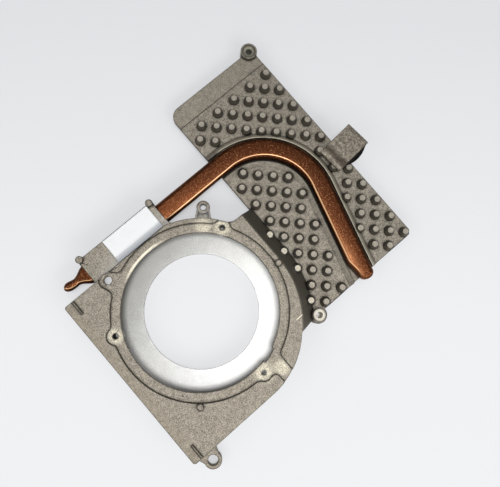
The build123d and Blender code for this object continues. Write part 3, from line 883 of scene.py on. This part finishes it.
def coolingPins():
    centres = pinPlaces()
    foot = (pinSet["topLevel"] - pinSet["height"]) * mm
    mesh = bpy.data.meshes.new("coolingPins")
    mesh.from_pydata([(c.x, c.y, foot + slopeLift(c)) for c in centres], [], [])
    piece = addObject("coolingPins", mesh, castAluminium)
    shape = pinShape()
    tree = pinTree()
    modifier = piece.modifiers.new("pins", "NODES")
    modifier.node_group = tree
    values = {"Pin Shape": shape, "Width Spread": pinSet["widthSpread"], "Seed": pinSet["seed"],
              "Finish": castAluminium}
    for item in tree.interface.items_tree:
        if item.in_out == "INPUT" and item.name in values:
            modifier[item.identifier] = values[item.name]
    bakeModifiers(piece)
    bpy.data.objects.remove(shape)
    print("pins placed:", len(centres))
    dress(piece, "cast_aluminium")


coolingPins()


# heat pipe: a flattened tube along its path, pinched at the fill end and drawn in at the nose

def pipePath():
    # straight, arc and straight: total length and a function from distance to place and direction
    p = pipeRun
    centre, out, turn, reach = pipeBend()
    radius = p["bendRadius"]
    arcEnd = Vector((p["x"], p["cornerY"], p["middleZ"])) + out * reach
    first = centre.y - p["startY"]
    arc = radius * turn
    last = (p["endX"] - arcEnd.x) / out.x

    def at(s):
        if s < first:
            return Vector((p["x"], p["startY"] + s, p["middleZ"])), Vector((0, 1, 0))
        if s < first + arc:
            a = math.pi - (s - first) / radius
            away = Vector((math.cos(a), math.sin(a), 0))
            return centre + away * radius, Vector((math.sin(a), -math.cos(a), 0))
        return arcEnd + out * (s - first - arc), out

    return first + arc + last, at


def flatOval(width, thick, count):
    # points round a pressed tube: flat top and bottom, round shoulders
    h, t = width / 2, thick / 2
    r = pipeRun["shoulder"] * min(h, t)
    points = []
    for side, (x, z) in enumerate(((h - r, t - r), (r - h, t - r), (r - h, r - t), (h - r, r - t))):
        points += arcPoints(x, z, r, 90 * side, 90 * side + 90, count // 4 - 1)
    return points


def fillEnd(out):
    # shift, width and thickness at a distance before the pipe's start: a neck and then a bulb
    p = pipeRun
    if out <= p["neckAt"]:
        t = smooth(out / p["neckAt"])
        width = between(p["width"], p["neckWidth"], t)
        return p["neckShift"] * t, width, between(p["thick"], p["neckThick"], t)
    t = (out - p["neckAt"]) / (p["bulbEnd"] - p["neckAt"])
    swell = math.sin(min(1.0, t * p["bulbSwell"]) * math.pi / 2)
    close = roundEnd((t - p["bulbClose"]) / (1 - p["bulbClose"]))
    width = between(p["neckWidth"], p["bulbWidth"], swell) * close
    thick = between(p["neckThick"], p["bulbThick"], swell) * close
    return between(p["neckShift"], p["bulbShift"], smooth(t * p["bulbLean"])), width, thick


def pipeSections():
    # distance along the path, shift to the left, width and thickness
    p = pipeRun
    length, at = pipePath()
    steps, least = p["endSteps"], p["least"]
    sections = []
    for k in range(steps + 1):
        out = p["bulbEnd"] * (1 - k / steps)
        shift, width, thick = fillEnd(out)
        sections.append((-out, -shift, max(width, least), max(thick, least)))
    nose = p["noseTaper"] + p["noseRound"]
    body = length - nose
    count = int(body / p["step"])
    sections += [(body * k / count, 0.0, p["width"], p["thick"]) for k in range(1, count + 1)]
    for k in range(1, steps + 1):
        out = nose * k / steps
        share = out / p["noseTaper"]
        t = between(smooth(share), min(1.0, share), p["noseSoft"])
        close = roundEnd((out - p["noseTaper"]) / p["noseRound"])
        width = between(p["width"], p["noseWidth"], t) * close
        thick = p["thick"] * close ** p["noseDrop"]
        sections.append((body + out, p["noseShift"] * t, max(width, least), max(thick, least)))
    return sections, at


def heatPipe():
    p = pipeRun
    sections, at = pipeSections()
    bm = bmesh.new()
    rings = []
    for s, shift, width, thick in sections:
        place, along = at(max(s, 0.0))
        place = place + along * min(s, 0.0)
        left = Vector((-along.y, along.x, 0))
        ring = []
        for a, b in flatOval(width, thick, p["around"]):
            spot = place + left * (a + shift) + Vector((0, 0, b))
            ring.append(bm.verts.new(spot * mm))
        rings.append(ring)
    for low, high in zip(rings, rings[1:]):
        for k in range(p["around"]):
            n = (k + 1) % p["around"]
            bm.faces.new([low[k], high[k], high[n], low[n]])
    bm.faces.new(rings[0])
    bm.faces.new(list(reversed(rings[-1])))
    bmesh.ops.recalc_face_normals(bm, faces=bm.faces[:])
    mesh = meshFrom(bm, "heatPipe")
    shadeByAngle(mesh, p["smoothAngle"])
    piece = addObject("heatPipe", mesh, tarnishedCopper)
    dress(piece, "copper_pipe", "heat_pipe")


heatPipe()
print("heat pipe laid")


# label: one sheet of paper, flat on the duct and bent up to the housing

labelSheet = {
    "left": -39.2, "bendX": -32.15, "topX": -29.98, "topZ": 10.45, "roofZ": 8.8, "bendRadius": 1.1,
    "lowY": -10.1, "highY": 8.8, "lift": 0.03, "thick": 0.10,
    "acrossSteps": 40, "alongSteps": 48,
    "curl": 0.10,
    "curlFrom": 0.8,  # share of the way to the ends
}


def labelPiece():
    p = labelSheet
    slope = Vector((p["topX"] - p["bendX"], p["topZ"] - p["roofZ"]))
    flat = p["bendX"] - p["left"]
    total = flat + slope.length
    angle = math.atan2(slope.y, slope.x)

    def profile(s):
        # the bend is spread over an arc
        half = p["bendRadius"] * math.tan(angle / 2)
        arc = p["bendRadius"] * angle
        if s < flat - half:
            return p["left"] + s, p["roofZ"]
        if s < flat - half + arc:
            a = (s - flat + half) / p["bendRadius"]
            x = p["bendX"] - half + p["bendRadius"] * math.sin(a)
            return x, p["roofZ"] + p["bendRadius"] * (1 - math.cos(a))
        rest = s - (flat - half + arc) + half
        return p["bendX"] + rest * math.cos(angle), p["roofZ"] + rest * math.sin(angle)

    bm = bmesh.new()
    rows = []
    for j in range(p["alongSteps"] + 1):
        v = j / p["alongSteps"]
        y = between(p["lowY"], p["highY"], v)
        nearEnd = max(0, abs(v - 0.5) * 2 - p["curlFrom"]) / (1 - p["curlFrom"])
        row = []
        for i in range(p["acrossSteps"] + 1):
            u = i / p["acrossSteps"]
            x, z = profile(total * u)
            cornerLift = p["curl"] * nearEnd ** 2 * (1 - u) ** 3
            row.append(bm.verts.new(Vector((x, y, z + p["lift"] + cornerLift)) * mm))
        rows.append(row)
    for low, high in zip(rows, rows[1:]):
        for i in range(p["acrossSteps"]):
            bm.faces.new([low[i], low[i + 1], high[i + 1], high[i]])
    mesh = meshFrom(bm, "labelSheet")
    mesh.polygons.foreach_set("use_smooth", [True] * len(mesh.polygons))
    piece = addObject("labelSheet", mesh, labelPaper)
    modified(piece, "SOLIDIFY", thickness=p["thick"] * mm, offset=1.0)
    dress(piece, "label_paper", "label")


labelPiece()
print("label laid")


# gasket: plated cloth folded round a foam core, standing on the pin tips past the plate's edge

gasketSet = {
    "left": -15.6, "right": -6.3, "footY": 67.7, "foldY": 70.2, "endY": 81.4, "turn": 4.3,
    "baseZ": 7.30, "topZ": 12.15, "endRadius": 2.0, "clothThick": 0.3, "coreGap": 0.08,
    "footHeight": 1.0, "footBulge": 0.35, "footFall": 0.1,
    "slant": 0.5, "coreSlant": 2.0, "slantPower": 0.7,
    "slantFrom": 0.6,  # share of the width
    "waves": ((9.0, 1.3), (3.1, 0.8)),  # turns across and along, for two waves
    "wrinkle": 0.09, "tilt": 0.35, "smoothAngle": 50,
    "acrossSteps": 44, "roundSteps": 8, "footSteps": 12, "bulgeSteps": 7, "riseSteps": 4,
}


def gasketLoop(inset, footed):
    # closed side view in y and z, from the foot round the block and back
    p = gasketSet
    y0, y1 = p["foldY"] + inset, p["endY"] - inset
    z0, z1 = p["baseZ"] + inset, p["topZ"] - inset
    r = p["endRadius"] - inset
    steps = p["roundSteps"]
    corners = [(y0 + r, z1 - r, 180), (y1 - r, z1 - r, 90), (y1 - r, z0 + r, 0)]
    if not footed:
        corners.append((y0 + r, z0 + r, -90))
    points = []
    for y, z, start in corners:
        arc = arcPoints(y, z, r, start, start - 90, steps)
        if points:
            points += pointsBetween(points[-1], arc[0], steps)
        points += arc
    if footed:
        half = p["footHeight"] / 2
        tip, top = p["footY"] + half, z0 + p["footHeight"]
        points += pointsBetween(points[-1], (tip, z0), p["footSteps"])
        points += arcPoints(tip, z0 + half, half, 270, 90, steps)
        for k in range(1, p["bulgeSteps"]):
            t = k / p["bulgeSteps"]
            bulge = p["footBulge"] * math.sin(math.pi * t) - p["footFall"] * t
            points.append((between(tip, y0, t), top + bulge))
        points += pointsBetween((y0, top), (y0, z1 - r), p["riseSteps"])
    return points


def gasketMesh(name, inset, footed, material):
    p = gasketSet
    loop = gasketLoop(inset, footed)
    slant = p["slant"] if footed else p["coreSlant"]
    (acrossA, alongA), (acrossB, alongB) = p["waves"]
    bm = bmesh.new()
    layer = bm.loops.layers.uv.new("cloth")
    turn = Matrix.Rotation(math.radians(p["turn"]), 3, "Z")
    middle = Vector(((p["left"] + p["right"]) / 2, (p["foldY"] + p["endY"]) / 2, 0))
    lengths = [0.0]
    for a, b in zip(loop, loop[1:] + loop[:1]):
        lengths.append(lengths[-1] + math.dist(a, b))
    rows = []
    for i in range(p["acrossSteps"] + 1):
        u = i / p["acrossSteps"]
        row = []
        for y, z in loop:
            rise = (z - p["baseZ"]) / (p["topZ"] - p["baseZ"])
            share = min(1.0, max(0.0, (p["endY"] - y) / (p["endY"] - p["foldY"])))
            near = math.sin(math.pi * share) ** p["slantPower"]
            x = between(p["left"] + inset, p["right"] - inset, u)
            x += slant * near * (1 - rise) * smooth((u - p["slantFrom"]) / (1 - p["slantFrom"]))
            wave = math.sin(u * acrossA + y * alongA) * math.sin(u * acrossB + y * alongB) * p["wrinkle"]
            tilt = p["tilt"] * (u - 0.5) * smooth(rise)
            spot = Vector((x, y, z + wave * rise + tilt)) - middle
            row.append(bm.verts.new((middle + turn @ spot) * mm))
        rows.append(row)
    count = len(loop)
    width = (p["right"] - p["left"]) * mm / p["acrossSteps"]
    for i, (low, high) in enumerate(zip(rows, rows[1:])):
        for k in range(count):
            n = (k + 1) % count
            face = bm.faces.new([low[k], low[n], high[n], high[k]])
            spots = [(i, k), (i, k + 1), (i + 1, k + 1), (i + 1, k)]
            for corner, (a, b) in zip(face.loops, spots):
                corner[layer].uv = (a * width, lengths[b] * mm)
    bm.faces.new(rows[0])
    bm.faces.new(list(reversed(rows[-1])))
    bmesh.ops.recalc_face_normals(bm, faces=bm.faces[:])
    mesh = meshFrom(bm, name)
    shadeByAngle(mesh, p["smoothAngle"])
    return addObject(name, mesh, material)


def gasketPieces():
    p = gasketSet
    wrap = gasketMesh("gasketWrap", 0.0, True, platedCloth)
    core = gasketMesh("gasketCore", p["clothThick"] + p["coreGap"], False, darkFoam)
    # the wrap is a skin that is open at both ends
    bm = bmesh.new()
    bm.from_mesh(wrap.data)
    bmesh.ops.delete(bm, geom=[f for f in bm.faces if len(f.verts) > 4], context="FACES_ONLY")
    bm.to_mesh(wrap.data)
    bm.free()
    modified(wrap, "SOLIDIFY", thickness=p["clothThick"] * mm, offset=-1.0)
    dress(wrap, "gasket_cloth", "gasket_cloth")
    dress(core, "gasket_foam", "gasket_foam")


gasketPieces()
print("gasket folded")


# floor, light and camera

studio = {
    "floorSize": 3.0, "floorGap": 0.05, "floorRoughness": 0.8, "floorSpecular": 0.2,
    "floorColor": (0.46, 0.464, 0.47, 1), "floorDark": (0.42, 0.424, 0.43, 1),
    "floorNoise": (9.0, 3.0), "floorTint": (0.3, 0.7, 0.97, 1.0),
    "floorGlow": (0.41, 0.414, 0.423, 1), "floorFar": (0.33, 0.334, 0.345, 1),
    "floorWay": (-0.76, 0.65, 0.0), "floorFade": (0.0, 0.11),
    "worldColor": (0.95, 0.97, 1.0, 1), "worldStrength": 0.28,
    "aim": (0.0, 0.02, 0.0),
    "lights": [
        {"name": "softBox", "place": (0.03, 0.0, 0.80), "size": (0.22, 0.20), "power": 2.55},
        {"name": "rightPanel", "place": (0.64, 0.06, 0.56), "size": (0.60, 0.32), "power": 1.9},
        {"name": "cornerPanel", "place": (0.40, -0.44, 0.56), "size": (0.60, 0.32), "power": 0.9},
        {"name": "lowPanel", "place": (-0.16, -0.58, 0.56), "size": (0.60, 0.32), "power": 0.9},
    ],
}


def floorMaterial():
    s = studio
    material, tree, shader = newMaterial("paleFloor")
    place = objectPlace(tree)
    tint = remap(tree, noise(tree, place, *s["floorNoise"]), *s["floorTint"])
    # the floor reads pale to the eye and in metal without lighting the part more
    path = put(tree, "ShaderNodeLightPath").outputs
    rays = (path["Is Glossy Ray"], path["Is Transmission Ray"], path["Is Camera Ray"])
    seen = chain(tree, "MAXIMUM", *rays)
    # painted shade: the floor's glow fades darker towards the far side
    upward = vectorNode(tree, "DOT_PRODUCT", place, s["floorWay"])
    glow = mixColor(tree, remap(tree, upward, *s["floorFade"]), s["floorGlow"], s["floorFar"])
    feed(tree, shader, {
        "Base Color": mixColor(tree, tint, s["floorDark"], s["floorColor"]),
        "Roughness": s["floorRoughness"],
        "Specular IOR Level": s["floorSpecular"],
        "Emission Color": mixColor(tree, seen, (0, 0, 0, 1), glow),
        "Emission Strength": 1.0,
    })
    return material


def areaLight(name, place, size, power):
    light = bpy.data.lights.new(name, "AREA")
    assign(light, shape="RECTANGLE", size=size[0], size_y=size[1], energy=power)
    lamp = newObject(name, light)
    lamp.location = place
    lamp.rotation_euler = (Vector(studio["aim"]) - Vector(place)).to_track_quat("-Z", "Y").to_euler()


def buildStudio():
    half = studio["floorSize"] / 2
    level = cadBox[0][2] - studio["floorGap"] * mm
    corners = [(-half, -half, level), (half, -half, level), (half, half, level), (-half, half, level)]
    mesh = bpy.data.meshes.new("floor")
    mesh.from_pydata(corners, [], [(0, 1, 2, 3)])
    addObject("floor", mesh, floorMaterial())
    world = bpy.data.worlds.new("softRoom")
    bpy.context.scene.world = world
    world.use_nodes = True
    values = {"Color": studio["worldColor"], "Strength": studio["worldStrength"]}
    feed(world.node_tree, world.node_tree.nodes["Background"], values)
    for light in studio["lights"]:
        areaLight(**light)
    bpy.context.scene.view_settings.view_transform = "Standard"


viewPoint = {
    "place": (1.8, 6.74, 188.5), "right": (0.6525, 0.7586, 0.0563), "up": (-0.7563, 0.6417, 0.1093),
    "lens": 38.3, "sensor": 36, "nearest": 0.01,
}


def buildCamera():
    data = bpy.data.cameras.new("photoView")
    assign(data, lens=viewPoint["lens"], sensor_width=viewPoint["sensor"], sensor_fit="HORIZONTAL",
           clip_start=viewPoint["nearest"])
    camera = newObject("photoView", data)
    right = Vector(viewPoint["right"]).normalized()
    back = right.cross(Vector(viewPoint["up"])).normalized()
    turn = Matrix((right, back.cross(right), back)).transposed().to_4x4()
    camera.matrix_world = Matrix.Translation(Vector(viewPoint["place"]) * mm) @ turn
    bpy.context.scene.camera = camera


buildStudio()
buildCamera()
print("studio and camera set")
